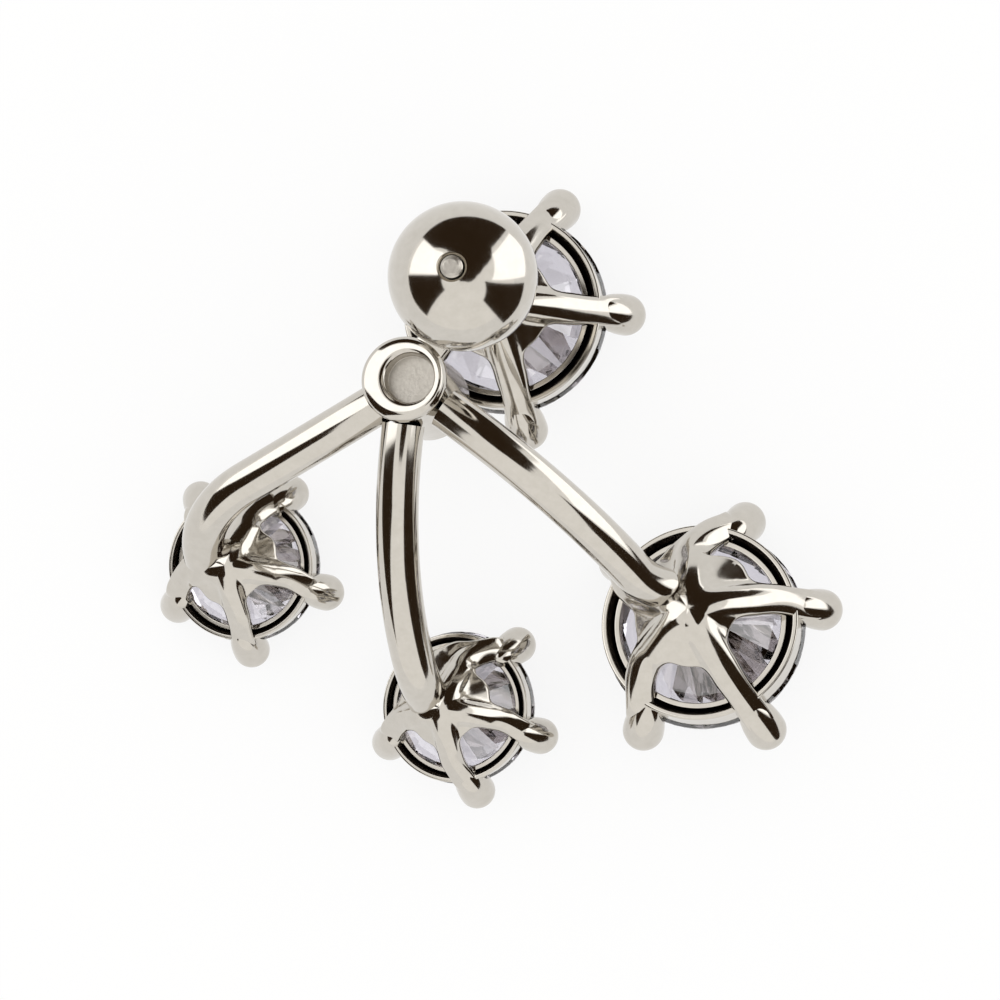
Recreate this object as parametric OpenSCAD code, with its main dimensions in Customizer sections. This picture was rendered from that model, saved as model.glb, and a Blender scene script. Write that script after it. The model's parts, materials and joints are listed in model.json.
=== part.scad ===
// Cluster earring: a claw-set round stone on an ear post, a jacket that hangs on the same post
// and carries three more claw-set stones on curved wires, and the ball that keeps both on the ear.
// It is drawn round its post, which is the Z axis, with the stones facing down: z = 0 is the ring
// of claw tips round the stud's stone. It is then laid face down on a table, on three claw tips.

/* [Stones] */
// Diameter of the stud's stone and of the large drop
large_stone_d = 8; // [7.4:0.1:8.6]
// Diameter of the middle and side drops
small_stone_d = 6; // [5.4:0.1:6.6]
// Width of a stone's table, as a share of its diameter
table_share = 0.57; // [0.52:0.01:0.62]
// Height of a stone's crown, as a share of its diameter
crown_share = 0.145; // [0.13:0.005:0.155]
// Depth of a stone's pavilion, as a share of its diameter
pavilion_share = 0.425; // [0.41:0.005:0.435]
// Length of the star facets, as a share of the crown's width
star_share = 0.5; // [0.4:0.05:0.6]
// Length of the lower girdle facets, as a share of the pavilion's width
lower_share = 0.76; // [0.7:0.02:0.84]
// Thickness of a stone's girdle
girdle_h = 0.2; // [0.16:0.02:0.26]

/* [Settings] */
// Diameter of the round claw tips on a large setting
large_tip_d = 1.65; // [1.5:0.05:1.8]
// Diameter of the round claw tips on a small setting
small_tip_d = 1.45; // [1.3:0.05:1.5]
// Distance from a large setting's axis to its claw tips
large_tip_reach = 4.62; // [4.5:0.02:4.7]
// Distance from a small setting's axis to its claw tips
small_tip_reach = 3.3; // [3.2:0.02:3.4]
// Thickness of a claw, as a share of the stone's diameter
claw_share = 0.13; // [0.11:0.005:0.14]
// How far a claw bows outwards between the back pad and its tip, as a share of the stone's diameter
claw_bow_share = 0.08; // [0.06:0.005:0.09]
// Diameter of the domed back pad, as a share of the stone's diameter
pad_share = 0.45; // [0.4:0.01:0.5]
// Radius of the pad's dome, as a share of the stone's diameter
dome_share = 0.28; // [0.26:0.01:0.34]
// Metal behind a stone's point
pad_h = 0.5; // [0.45:0.05:0.6]
// Outer diameter of the gallery ring, as a share of the stone's diameter
gallery_share = 0.99; // [0.97:0.005:1]
// Width of the gallery ring's back edge, as a share of the stone's diameter
gallery_edge_share = 0.03; // [0.025:0.005:0.045]
// Height of the gallery ring's back edge above the claw tips, as a share of the stone's diameter
gallery_back_share = 0.25; // [0.22:0.01:0.27]
// Inner diameter of the gallery ring at the stone, as a share of the stone's diameter
gallery_seat_share = 0.8; // [0.76:0.01:0.84]
// Gap between a stone and its setting
stone_gap = 0.06; // [0.04:0.01:0.08]

/* [Post and ball] */
// Diameter of the ear post
post_d = 0.9; // [0.8:0.05:1]
// Diameter of the ball
ball_d = 5.86; // [5.4:0.02:6.2]
// Height of the ball's centre above the stud's claw tips
ball_z = 12; // [11.8:0.1:12.6]
// Gap round the post in the ball
ball_gap = 0.05; // [0.03:0.01:0.08]
// How far the post stands out of the ball
post_end = 0.1; // [0:0.05:0.3]

/* [Jacket] */
// Outer diameter of the jacket's ring on the post
ring_d = 3.2; // [2.8:0.1:3.4]
// Height of that ring
ring_h = 1.5; // [1.2:0.1:1.6]
// Gap round the post in that ring
ring_gap = 0.1; // [0.08:0.01:0.15]
// Gap between that ring and the ball, measured at the edge of the ring's hole
ball_seat = 0.3; // [0.2:0.05:0.4]
// Distance from the post to the hub that the wires leave
hub_reach = 4.56; // [4.5:0.02:4.8]
// Direction of the hub from the post, in degrees from +X
hub_toward = -130; // [-135:1:-125]
// Outer diameter of the hub
hub_d = 3.4; // [3.2:0.1:3.6]
// Length of the hub
hub_h = 4.8; // [4.4:0.1:4.8]
// Height of the hub's rim above the stud's claw tips
hub_z = 8.6; // [8.5:0.1:8.8]
// Lean of the hub away from the post's direction
hub_lean = 6.3; // [4:0.1:7]
// Direction in which the hub leans
hub_lean_toward = 139; // [130:1:150]
// Diameter of the recess in the hub's rim
recess_d = 1.95; // [1.8:0.05:2.1]
// Depth of that recess
recess_h = 1.2; // [1:0.1:1.4]
// How far the recess lies off the hub's axis
recess_off = 0.28; // [0:0.02:0.3]
// Width of the neck between the ring and the hub
neck_w = 1.3; // [1:0.1:1.6]
// How far the neck's top lies below the ring's, so that it stays under the hub's rim
neck_drop = 0.45; // [0.35:0.05:0.6]
// Diameter of the three curved wires
wire_d = 1.68; // [1.5:0.02:1.8]
// Depth of the wires' middle line below the hub's rim
wire_drop = 1.35; // [1.2:0.05:1.6]

/* [Large drop] */
// Distance of the large drop from the post
large_reach = 14.66; // [14.4:0.02:15.2]
// Direction of the large drop from the post
large_toward = -58.6; // [-61:0.2:-56]
// How far its claw tips lie in front of the stud's
large_forward = 1.8; // [1.4:0.1:2.2]
// Lean of its setting
large_lean = 6.1; // [4:0.1:8]
// Direction in which its setting leans
large_lean_toward = 108; // [102:1:114]

/* [Middle drop] */
// Distance of the middle drop from the post
middle_reach = 15.49; // [15.2:0.01:16]
// Direction of the middle drop from the post
middle_toward = -97.6; // [-100:0.2:-95]
// How far its claw tips lie in front of the stud's
middle_forward = 1.6; // [1.2:0.1:2]
// Lean of its setting
middle_lean = 8.9; // [7:0.1:10]
// Direction in which its setting leans
middle_lean_toward = 226; // [220:1:232]

/* [Side drop] */
// Distance of the side drop from the post
side_reach = 14.26; // [14:0.01:14.6]
// Direction of the side drop from the post
side_toward = -137.4; // [-140:0.2:-134]
// How far its claw tips lie in front of the stud's
side_forward = 0.9; // [0.6:0.1:1.2]
// Lean of its setting
side_lean = 8.9; // [7:0.1:10]
// Direction in which its setting leans
side_lean_toward = 226; // [220:1:232]

/* [Hidden] */
$fn = 64;
silver = "#d9d6cf";
clear_stone = "#dfe3f2";

// Directions of the five claws of each setting, in degrees from +X: they are bent by hand
stud_claws = [64, -1, -81, 209, 137];
large_claws = [72, 10, -59, 237, 141];
middle_claws = [47, -21, -82, 203, 129];
side_claws = [58, -20, -90, 206.5, 126];

// Where each wire lands on its setting's pad, and how it gets there.
// Columns: landing x, landing y, heading and dive at the landing, heading and dive where the
// last bend starts, radius of that bend
large_landing = [-1.2, 0.95, 352, 49, 313, 56, 3.9];
middle_landing = [-0.7, 0.5, 268, 67, 272, 36, 4.7];
side_landing = [-1, 0.51, 261, 53, 206, 15, 4.9];
// Depth of a wire's end below the back of the pad
landing_sink = 0.6;
// How far the round joint in a wire stands out of it
joint_step = 0.015;

// Vectors and turns
function unit(v) = v / norm(v);
function turn_z(a) = [[cos(a), -sin(a), 0], [sin(a), cos(a), 0], [0, 0, 1]];
function turn_y(a) = [[cos(a), 0, sin(a)], [0, 1, 0], [-sin(a), 0, cos(a)]];
function lean_by(lean, toward) = turn_z(toward) * turn_y(lean) * turn_z(-toward);
function heading(az, dive) = [cos(az) * cos(dive), sin(az) * cos(dive), -sin(dive)];
function polar(r, a, z) = [r * cos(a), r * sin(a), z];

// A setting: place of its ring of claw tips, its turn, stone size, tip size, claw directions and
// the claw tips' distance from its axis
stud = [[0, 0, 0], lean_by(0, 0), large_stone_d, large_tip_d, stud_claws, large_tip_reach];
large = [polar(large_reach, large_toward, -large_forward), lean_by(large_lean, large_lean_toward),
    large_stone_d, large_tip_d, large_claws, large_tip_reach];
middle = [polar(middle_reach, middle_toward, -middle_forward), lean_by(middle_lean, middle_lean_toward),
    small_stone_d, small_tip_d, middle_claws, small_tip_reach];
side = [polar(side_reach, side_toward, -side_forward), lean_by(side_lean, side_lean_toward),
    small_stone_d, small_tip_d, side_claws, small_tip_reach];

// Heights in a setting, from its ring of claw tips towards its back
function girdle_z(d) = 0.3 + d / 32;
function point_z(d) = girdle_z(d) + girdle_h / 2 + pavilion_share * d;
function pad_z(d) = point_z(d) + pad_h;

// Lengths that follow from others
ball_low = ball_z - sqrt(pow(ball_d / 2, 2) - pow(post_d / 2 + ring_gap, 2));
ring_z = ball_low - ball_seat - ring_h;
hub_turn = lean_by(hub_lean, hub_lean_toward);
hub_rim = polar(hub_reach, hub_toward, hub_z);
wire_start = hub_rim - hub_turn * [0, 0, wire_drop];
through = 0.5;

// Rings of points round a stone, and the height of a facet's plane at a point
function points_round(n, r, z, turn = 0) = [for (i = [0:n - 1]) polar(r, 360 * i / n + turn, z)];
function plane_z(a, b, c, q) =
    let (n = cross(b - a, c - a)) a.z - (n.x * (q.x - a.x) + n.y * (q.y - a.y)) / n.z;

// A round brilliant with its girdle on z = 0 and its table up: eight mains on the crown and the
// pavilion, eight stars, and paired girdle facets whose edges scallop the girdle
mains = 8;
per_main = 8;
function brilliant_points(d) =
    let (
        r = d / 2,
        g = girdle_h / 2,
        step = 360 / mains,
        table_r = r * table_share,
        table_z = g + crown_share * d,
        inner = table_r * cos(step / 2),
        star_r = inner + star_share * (r - inner),
        star_z = table_z - (star_r * cos(step / 2) - table_r) * (table_z - g) / (r - table_r),
        deep = pavilion_share * d,
        low_r = r * (1 - lower_share),
        low_z = -g - deep * (1 - low_r * cos(step / 2) / r),
        star = points_round(mains, star_r, star_z, step / 2),
        low = points_round(mains, low_r, low_z, step / 2),
        rim = points_round(mains * per_main, r, 0)
    )
    concat(
        points_round(mains, table_r, table_z),
        star,
        [for (i = [0:len(rim) - 1]) [rim[i].x, rim[i].y, facet_edge(i, r, g, step, star)]],
        [for (i = [0:len(rim) - 1]) [rim[i].x, rim[i].y, facet_edge(i, r, -g, step, low)]],
        low,
        [[0, 0, -g - deep]]
    );
// Height of the girdle's edge at rim point i, under the girdle facet that covers it
function facet_edge(i, r, g, step, tips) =
    let (
        k = floor(i / per_main),
        half = i % per_main < per_main / 2 ? 0 : 1,
        a = polar(r, step * (k + half / 2), g),
        b = polar(r, step * (k + (half + 1) / 2), g)
    )
    plane_z(tips[k], a, b, polar(r, step * i / per_main, 0));

module brilliant(d) {
    n = mains;
    m = mains * per_main;
    half = per_main / 2;
    star = n;
    top = 2 * n;
    bottom = top + m;
    low = bottom + m;
    culet = low + n;
    faces = concat(
        [[for (i = [n - 1:-1:0]) i]],
        [for (k = [0:n - 1]) [k, (k + 1) % n, star + k]],
        [for (k = [0:n - 1]) [k, star + k, top + per_main * k, star + (k + n - 1) % n]],
        [for (k = [0:n - 1]) for (h = [0, half])
            [star + k, for (j = [half:-1:0]) top + (per_main * k + h + j) % m]],
        [for (i = [0:m - 1]) [top + i, top + (i + 1) % m, bottom + (i + 1) % m, bottom + i]],
        [for (k = [0:n - 1]) for (h = [0, half])
            [low + k, for (j = [0:half]) bottom + (per_main * k + h + j) % m]],
        [for (k = [0:n - 1]) [culet, low + (k + n - 1) % n, bottom + per_main * k, low + k]]
    );
    polyhedron(points = brilliant_points(d), faces = faces);
}

// Puts its children where a setting stands
module in_setting(s) {
    t = s[1];
    multmatrix([[t[0].x, t[0].y, t[0].z, s[0].x], [t[1].x, t[1].y, t[1].z, s[0].y],
        [t[2].x, t[2].y, t[2].z, s[0].z], [0, 0, 0, 1]]) children();
}

// The room that a stone and the gap round it take in a setting
module stone_room(d) {
    r = d / 2 + stone_gap;
    g = girdle_h / 2 + stone_gap;
    z = girdle_z(d);
    table_z = z - girdle_h / 2 - crown_share * d - stone_gap;
    rotate_extrude()
        polygon([[0, table_z - 2 * through], [0, point_z(d) + 1.4 * stone_gap], [r, z + g], [r, z - g],
            [table_share * d / 2 + stone_gap, table_z], [table_share * d / 2, table_z - 2 * through]]);
}

// One claw: an arc from the back pad over the gallery ring, and the round tip that it ends in
module claw(d, tip_d, reach, direction) {
    from = [0.15 * d, pad_z(d) - 0.085 * d];
    to = [reach, 0];
    chord = norm(to - from);
    bow = claw_bow_share * d;
    bend_r = (chord * chord / 4 + bow * bow) / (2 * bow);
    half_turn = asin(chord / 2 / bend_r);
    slope = atan2(to.y - from.y, to.x - from.x);
    centre = (from + to) / 2 - (bend_r - bow) * [-sin(slope), cos(slope)];
    rotate([0, 0, direction]) {
        translate([centre.x, 0, centre.y])
            rotate([90, 0, 0])
                rotate([0, 0, slope + 90 - half_turn])
                    rotate_extrude(angle = 2 * half_turn) translate([bend_r, 0]) circle(d = claw_share * d);
        translate([to.x, 0, to.y]) sphere(d = tip_d);
    }
}

// A setting: domed pad, gallery ring and five claws, with what is soldered to it as children,
// all cut to leave room for the stone
module setting(s) {
    d = s[2];
    dome_r = dome_share * d;
    pad_r = pad_share * d / 2;
    gallery_r = gallery_share * d / 2;
    back_z = gallery_back_share * d;
    edge_r = gallery_r - gallery_edge_share * d;
    seat_r = gallery_seat_share * d / 2;
    difference() {
        union() {
            in_setting(s) {
                intersection() {
                    translate([0, 0, pad_z(d) - dome_r]) sphere(r = dome_r);
                    translate([0, 0, pad_z(d) - dome_r]) cylinder(r = pad_r, h = 2 * dome_r);
                }
                rotate_extrude()
                    polygon([[gallery_r, girdle_z(d)], [gallery_r, back_z], [edge_r, back_z], [seat_r, girdle_z(d)]]);
                for (a = s[4]) claw(d, s[3], s[5], a);
            }
            children();
        }
        in_setting(s) stone_room(d);
    }
}

module stone(s) {
    in_setting(s) translate([0, 0, girdle_z(s[2])]) rotate([180, 0, 0]) brilliant(s[2]);
}

// An arc of wire from p to q that arrives at q along t
module wire_arc(p, q, t) {
    chord = q - p;
    half_turn = acos(unit(chord) * t);
    bend_r = norm(chord) / (2 * sin(half_turn));
    inward = unit(-chord + (chord * t) * t);
    centre = q + bend_r * inward;
    z = cross(t, inward);
    x = unit(p - centre);
    y = cross(z, x);
    multmatrix([[x.x, y.x, z.x, centre.x], [x.y, y.y, z.y, centre.y], [x.z, y.z, z.z, centre.z], [0, 0, 0, 1]])
        rotate_extrude(angle = 2 * half_turn) translate([bend_r, 0]) circle(d = wire_d);
}

// A wire: one long arc out of the hub and a tighter one down on to the setting's pad, with a
// round joint between them that stands out by less than the eye can see
module wire(s, landing) {
    end = s[0] + s[1] * [landing[0], landing[1], pad_z(s[2]) - landing_sink];
    end_t = s[1] * heading(landing[2], landing[3]);
    bend_t = s[1] * heading(landing[4], landing[5]);
    bend = acos(bend_t * end_t);
    bend_at = end - landing[6] * tan(bend / 2) * (bend_t + end_t);
    wire_arc(wire_start, bend_at, bend_t);
    translate(bend_at) sphere(d = wire_d + 2 * joint_step);
    wire_arc(bend_at, end, end_t);
}

module on_hub() {
    t = hub_turn;
    multmatrix([[t[0].x, t[0].y, t[0].z, hub_rim.x], [t[1].x, t[1].y, t[1].z, hub_rim.y],
        [t[2].x, t[2].y, t[2].z, hub_rim.z], [0, 0, 0, 1]]) children();
}

// Rest: the plane that touches three claw tips, taken as the table.
// Each claw tip is [x, y, z, radius].
function tips_of(s) =
    [for (a = s[4]) let (p = s[0] + s[1] * polar(s[5], a, 0)) [p.x, p.y, p.z, s[3] / 2]];
function spot(t) = [t[0], t[1], t[2]];
function plane_under(a, b, c) =
    let (
        u = spot(b) - spot(a),
        v = spot(c) - spot(a),
        du = b[3] - a[3],
        dv = c[3] - a[3],
        det = (u * u) * (v * v) - (u * v) * (u * v),
        flat = ((du * (v * v) - dv * (u * v)) * u + (dv * (u * u) - du * (u * v)) * v) / det,
        n = cross(u, v)
    )
    flat + sqrt(1 - flat * flat) * unit(n.z > 0 ? n : -n);

all_tips = concat(tips_of(stud), tips_of(large), tips_of(middle), tips_of(side));
up = plane_under(tips_of(stud)[4], tips_of(large)[4], tips_of(side)[3]);
right = unit([1, 0, 0] - up.x * up);
ahead = cross(up, right);
x_range = [for (t = all_tips) each [spot(t) * right - t[3], spot(t) * right + t[3]]];
y_range = [for (t = all_tips) each [spot(t) * ahead - t[3], spot(t) * ahead + t[3]]];
z_range = [for (t = all_tips) spot(t) * up - t[3]];
mid_x = (min(x_range) + max(x_range)) / 2;
mid_y = (min(y_range) + max(y_range)) / 2;
module laid() {
    multmatrix([[right.x, right.y, right.z, -mid_x], [ahead.x, ahead.y, ahead.z, -mid_y],
        [up.x, up.y, up.z, -min(z_range)], [0, 0, 0, 1]]) children();
}

module stud_setting() {
    foot_z = pad_z(large_stone_d) - pad_h / 2;
    tip_h = post_d / 6;
    end_z = ball_z + ball_d / 2 + post_end - tip_h;
    color(silver) laid() union() {
        setting(stud);
        translate([0, 0, foot_z]) cylinder(d = post_d, h = end_z - foot_z);
        translate([0, 0, end_z]) cylinder(d1 = post_d, d2 = post_d - 2 * tip_h, h = tip_h);
    }
}

module jacket_frame() {
    color(silver) laid() difference() {
        union() {
            translate([0, 0, ring_z]) cylinder(d = ring_d, h = ring_h);
            rotate([0, 0, hub_toward]) translate([0, -neck_w / 2, ring_z]) cube([hub_reach, neck_w, ring_h - neck_drop]);
            on_hub() translate([0, 0, -hub_h]) cylinder(d = hub_d, h = hub_h);
            setting(large) wire(large, large_landing);
            setting(middle) wire(middle, middle_landing);
            setting(side) wire(side, side_landing);
        }
        translate([0, 0, ring_z - through]) cylinder(d = post_d + 2 * ring_gap, h = ring_h + 2 * through);
        on_hub() translate([recess_off, 0, -recess_h]) cylinder(d = recess_d, h = recess_h + through);
    }
}

module stud_stone() {
    color(clear_stone) laid() stone(stud);
}

module large_stone() {
    color(clear_stone) laid() stone(large);
}

module middle_stone() {
    color(clear_stone) laid() stone(middle);
}

module side_stone() {
    color(clear_stone) laid() stone(side);
}

module ball_back() {
    color(silver) laid() translate([0, 0, ball_z]) difference() {
        sphere(d = ball_d);
        translate([0, 0, -ball_d]) cylinder(d = post_d + 2 * ball_gap, h = 2 * ball_d);
    }
}

stud_setting();
stud_stone();
jacket_frame();
large_stone();
middle_stone();
side_stone();
ball_back();
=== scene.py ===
"""Cluster earring: a claw-set stud, a jacket with three more stones on curved wires, and a ball back."""

import json
import math

import bmesh
import bpy
import numpy as np
from mathutils import Matrix, Vector


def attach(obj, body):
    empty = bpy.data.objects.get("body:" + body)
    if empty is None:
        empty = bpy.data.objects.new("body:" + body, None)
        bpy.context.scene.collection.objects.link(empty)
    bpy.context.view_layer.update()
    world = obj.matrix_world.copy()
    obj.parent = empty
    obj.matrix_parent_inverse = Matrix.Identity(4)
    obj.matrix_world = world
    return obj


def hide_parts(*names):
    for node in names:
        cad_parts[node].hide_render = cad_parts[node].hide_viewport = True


bl_info = {
    "name": "Cluster earring",
    "version": (1, 0, 0),
    "blender": (4, 5, 0),
    "location": "View3D > Sidebar > Earring",
    "description": "Builds the metal, the stones and the stage of a claw-set cluster earring",
    "category": "Add Mesh",
}

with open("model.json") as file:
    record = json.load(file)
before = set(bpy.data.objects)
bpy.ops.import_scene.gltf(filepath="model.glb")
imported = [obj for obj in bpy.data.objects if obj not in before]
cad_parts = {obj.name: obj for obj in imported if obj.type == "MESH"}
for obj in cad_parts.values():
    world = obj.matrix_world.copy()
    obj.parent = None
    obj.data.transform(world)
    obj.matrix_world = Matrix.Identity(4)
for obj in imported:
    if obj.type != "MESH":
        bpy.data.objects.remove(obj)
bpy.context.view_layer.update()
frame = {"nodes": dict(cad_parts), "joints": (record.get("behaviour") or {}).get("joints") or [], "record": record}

MM = 0.001

# Lengths below are in millimetres, and a share is a part of the stone's diameter

# The round stones: how high the girdle lies over the claw tips, its thickness and the pavilion's depth, as
# the frame has them, and the size that parts large from small
GIRDLE_LOW, GIRDLE_RISE, GIRDLE_H = 0.3, 1 / 32, 0.2
PAVILION_SHARE = 0.425
LARGE_FROM_D = 7
# Distance of the claw tips from a setting's axis, on an 8 mm stone and on a 6 mm one
LARGE_TIP_REACH, SMALL_TIP_REACH = 4.62, 3.3

# A setting's pad: the metal behind the stone's point, the radius of its small dome as a share, the part of
# that radius that shows, and the slope at which the dome ends
PAD_H = 0.5
DOME_SHARE, DOME_SEEN, DOME_END_SLOPE = 0.21, 0.9, 2.06
# The metal between the claws follows the stone's pavilion: its drop as a part of the pad, and its start
SKIRT_DROP, SKIRT_START = 0.2, 0.08
# How softly dome, skirt and claws run into each other, as a share
WEB_BLEND = 0.02

# A claw's outer line, as shares: the start of its long arc and the drop to it, its bow, how far it stands
# off the line to its tip and how much more at the tip itself, and where its bend sideways starts
ARC_START, ARC_DROP = 0.17, 0.1
CLAW_BOW, CLAW_LIFT, TIP_LIFT = 0.045, 0.05, 0.02
BEND_START = 0.3
ARC_STEPS, DOME_STEPS = 60, 20
# The steepness of a claw's flanks beyond its roof
FLANK_SLOPE = 0.9

# A window's edge: how far its arch runs out along the claw as a share, and how round it is at both ends
ARCH_RUN, ARCH_ROUND, ARCH_TOP_ROUND = 0.12, 0.55, 0.8
ARCH_STEPS, CLAW_STEPS = 14, 26
# A setting's grid: steps across half a claw, out over the pad and down the rounded edge, how much closer
# the steps stand at the ridge, and where the pad's rows end as a part of the way to the window
ACROSS, PAD_ROWS, EDGE_ROWS = 18, 16, 5
RIDGE_CROWDING, PAD_ROWS_END = 1.5, 0.87

# Each setting: the stone that it holds, and its claws in order round it. Each claw has the direction in
# which it leaves the pad, the direction of its tip, both in degrees, and the pad's radius in the window
# after it, as a share
SETTINGS = {
    "stud": {
        "stone": "stud_stone",
        "claws": ((-3, -1, 0.31), (69, 64, 0.31), (137, 137, 0.3), (209, 209, 0.3), (280, 279, 0.3)),
    },
    "large": {
        "stone": "large_stone",
        "claws": ((14.5, 10, 0.39), (94, 72, 0.4), (155, 141, 0.34), (221, 237, 0.3), (299.4, 301, 0.24)),
    },
    "middle": {
        "stone": "middle_stone",
        "claws": ((-13, -21, 0.34), (69, 47, 0.42), (136, 129, 0.37), (192, 203, 0.3), (271, 278, 0.25)),
    },
    "side": {
        "stone": "side_stone",
        "claws": (
            (-12, -20, 0.35),
            (70, 58, 0.4),
            (136, 126, 0.37),
            (190, 206.5, 0.31),
            (272.6, 270, 0.26),
        ),
    },
}

# The gallery ring's section, as shares: the radii of its outside, its back, its groove, its lip and its
# inside
RING_OUT, RING_BACK, RING_GROOVE = 0.49, 0.464, 0.432
LIP_OUT, LIP_IN, RING_IN = 0.428, 0.402, 0.396
# The rounding of its edges, how high its back is at most and how far it lies below the claws, and how far
# groove and lip lie below the back
RING_EDGE, BACK_TOP, BACK_DROP, GROOVE_DROP, LIP_DROP = 0.008, 0.25, 0.012, 0.045, 0.022
# The radii where groove and lip come closest to the stone, and where the painted shade in the groove starts
GROOVE_STONE, LIP_STONE, PAINTED_SHADE_IN = 0.434, 0.4, 0.43
# The gap to the stone in millimetres, at groove and inside and elsewhere
CLOSE_GAP, STONE_GAP = 0.03, 0.05

# Each wire: where it lands on its setting's pad, its heading and dive there, those where its last bend
# starts, and the radius of that bend. Angles are in degrees
LANDINGS = {
    "large": {"at": (-1.2, 0.95), "end": (352, 49), "bend": (313, 56), "radius": 3.9},
    "middle": {"at": (-0.7, 0.5), "end": (268, 67), "bend": (272, 36), "radius": 4.7},
    "side": {"at": (-1.0, 0.51), "end": (261, 53), "bend": (206, 15), "radius": 4.9},
}
# A wire lands this far below its pad's top and runs on a little, so that its cap is buried. It starts this
# far below the hub's rim and from the hub's axis, in the hub's wall
LANDING_SINK, END_SINK = 0.6, 0.2
WIRE_DROP, WIRE_START = 1.35, 1.32

# The jacket's hub, and its recess, off the hub's middle and drilled deeper than its end shows
HUB_D, HUB_H = 3.4, 4.8
RECESS_D, RECESS_H, RECESS_OFF = 1.95, 1.2, 0.28
RECESS_SEEN_H = 0.6
# The collar at the hub's rim: how far it stands out, its height without and with its taper, the rounding
# of rim and mouth, and the part of the wall that stays centred
COLLAR_OUT, COLLAR_H, COLLAR_TAPER_H, RIM_ROUND, MOUTH_ROUND = 0.1, 0.5, 0.62, 0.36, 0.2
CENTRED_WALL = 0.12
# The jacket's ring on the post, the neck that joins it to the hub, the post and the ball
RING_D, RING_H, RING_Z = 3.2, 1.5, 7.32
NECK_W, NECK_DROP, NECK_EDGE = 1.3, 0.45, 0.15
NECK_START, NECK_IN_HUB, NECK_AIM = 0.4, 0.3, 0.5
POST_D, RING_GAP, BALL_GAP, BALL_D, BALL_Z = 0.9, 0.1, 0.05, 5.86, 12.0
POST_SINK, POST_PROUD, POST_CHAMFER = 0.3, 0.1, 0.15
BALL_SINK, BALL_ROWS = 0.1, 96

# How many of a pattern's features come to the millimetre: waves of the cast metal, buffed patches, grain of
# the raw casting, specks in the groove's painted shade, and the laps of the polish on the stones
WAVES, PATCHES, GRAINS, SPECKS, LAPS = 0.55 / MM, 2.4 / MM, 6.0 / MM, 4.0 / MM, 1.5 / MM
# How high the waves and the grain stand
WAVE_H, GRAIN_H = 0.004 * MM, 0.02 * MM

# Stage cards: their corners as the ball's centre sees them, in degrees clockwise from the earring's up and
# degrees above its own horizon, and how bright the softboxes are. A card with no glow is dark brown
CARDS = {
    "open_side": {
        "corners": (
            (-46, -5), (-20, -10), (0, -12), (20, -15), (43, -20), (46, 26), (58, 37), (69, 56),
            (90, 68), (105, 71), (160, 81), (289, 80), (340, 62), (328, 42), (314, 25),
        ),
        "glow": 0.0,
    },
    "left_gap": {"corners": ((-89, -2), (-89, 57), (-128, 55), (-138, 0), (-117, -2)), "glow": 0.0},
    "right_gap": {"corners": ((104, 55), (96, -16), (118, -19), (139, -17), (140, 40)), "glow": 0.0},
    "left_softbox": {
        "corners": ((-87, 0), (-66, 1), (-47, 1), (-46, 31), (-38, 46), (-50, 64), (-87, 56)),
        "glow": 1.9,
    },
    "right_softbox": {"corners": ((98, 44), (90, -17), (64, -25), (47, -19), (54, 33)), "glow": 1.9},
}
CARD_STEP_DEG = 6
DARK_CARD, SOFTBOX, TENT = "#33271B", "#FFFFFF", "#FFFEFC"
# Metres from the ball's centre to the cards, with the softboxes behind the dark cards, and a card's least
# height over the floor
CARD_DISTANCE, SOFTBOX_FARTHER, FLOOR_GAP = 0.3, 1.04, 0.0006

# The camera looks down on the backs of the settings, a few degrees off the vertical. Its directions are
# those of the earring's own frame, and it aims from the ball's centre, in millimetres to the right, up and
# away
CAMERA_UP = Vector((0.0181, 0.99276, 0.1185))
TO_CAMERA = Vector((0.1498, -0.1199, 0.9814))
AIM_FROM_BALL = (1.448, -8.707, -6.86)
# Metres of the frame's width at the earring and to the camera, and the sensor's width in millimetres
FRAME_WIDTH, CAMERA_DISTANCE, SENSOR_WIDTH = 0.0392, 0.9, 36.0
# The light tent's strength, and the floor's own glow, the part of it in the mix and half its side in metres
TENT_STRENGTH, FLOOR_GLOW, GLOW_PART, FLOOR_HALF = 1.1, 0.985, 0.85, 1.5


def girdle_z(d):
    """Height of the girdle of a stone of diameter d above its claw tips."""
    return GIRDLE_LOW + d * GIRDLE_RISE


def point_z(d):
    """Height of the stone's point above its claw tips."""
    return girdle_z(d) + GIRDLE_H / 2 + PAVILION_SHARE * d


def pad_z(d):
    """Height of the setting's pad above its claw tips."""
    return point_z(d) + PAD_H


def tip_reach(d):
    """Distance of the claw tips from the setting's axis."""
    return LARGE_TIP_REACH if d > LARGE_FROM_D else SMALL_TIP_REACH


def heading(azimuth, dive):
    """The direction that an azimuth and a dive below the level give, both in degrees."""
    a, b = math.radians(azimuth), math.radians(dive)
    return Vector((math.cos(a) * math.cos(b), math.sin(a) * math.cos(b), -math.sin(b)))


# Places read off the frame


def stone_size(node):
    """Diameter in millimetres, centre axis towards the point, and the point itself, of a round stone."""
    co = np.array([v.co for v in frame["nodes"][node].data.vertices], float) / MM
    co = np.unique(co.round(4), axis=0)
    centre = co.mean(0)
    axis = np.linalg.eigh(np.cov((co - centre).T))[1][:, 0]
    along = (co - centre) @ axis
    # One vertex alone is the point, and the other end is the table
    if (along > along.max() - 0.02).sum() > 1:
        axis, along = -axis, -along
    point = co[along.argmax()]
    out = co - point
    reach = np.linalg.norm(out - np.outer(out @ axis, axis), axis=1).max()
    return 2 * reach, Vector(axis), Vector(point)


def post_axis():
    """The direction of the ear post, on which the jacket turns."""
    joint = next(j for j in frame["joints"] if j["name"] == "jacket_turn")
    return Vector(joint["axis"]).normalized()


def design_turn():
    """The frame's directions of the earring's own X, Y and Z, where Z is the post."""
    post = post_axis()
    x = Vector((post.z, 0, -post.x)).normalized()
    return Matrix((x, post.cross(x), post)).transposed()


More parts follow.
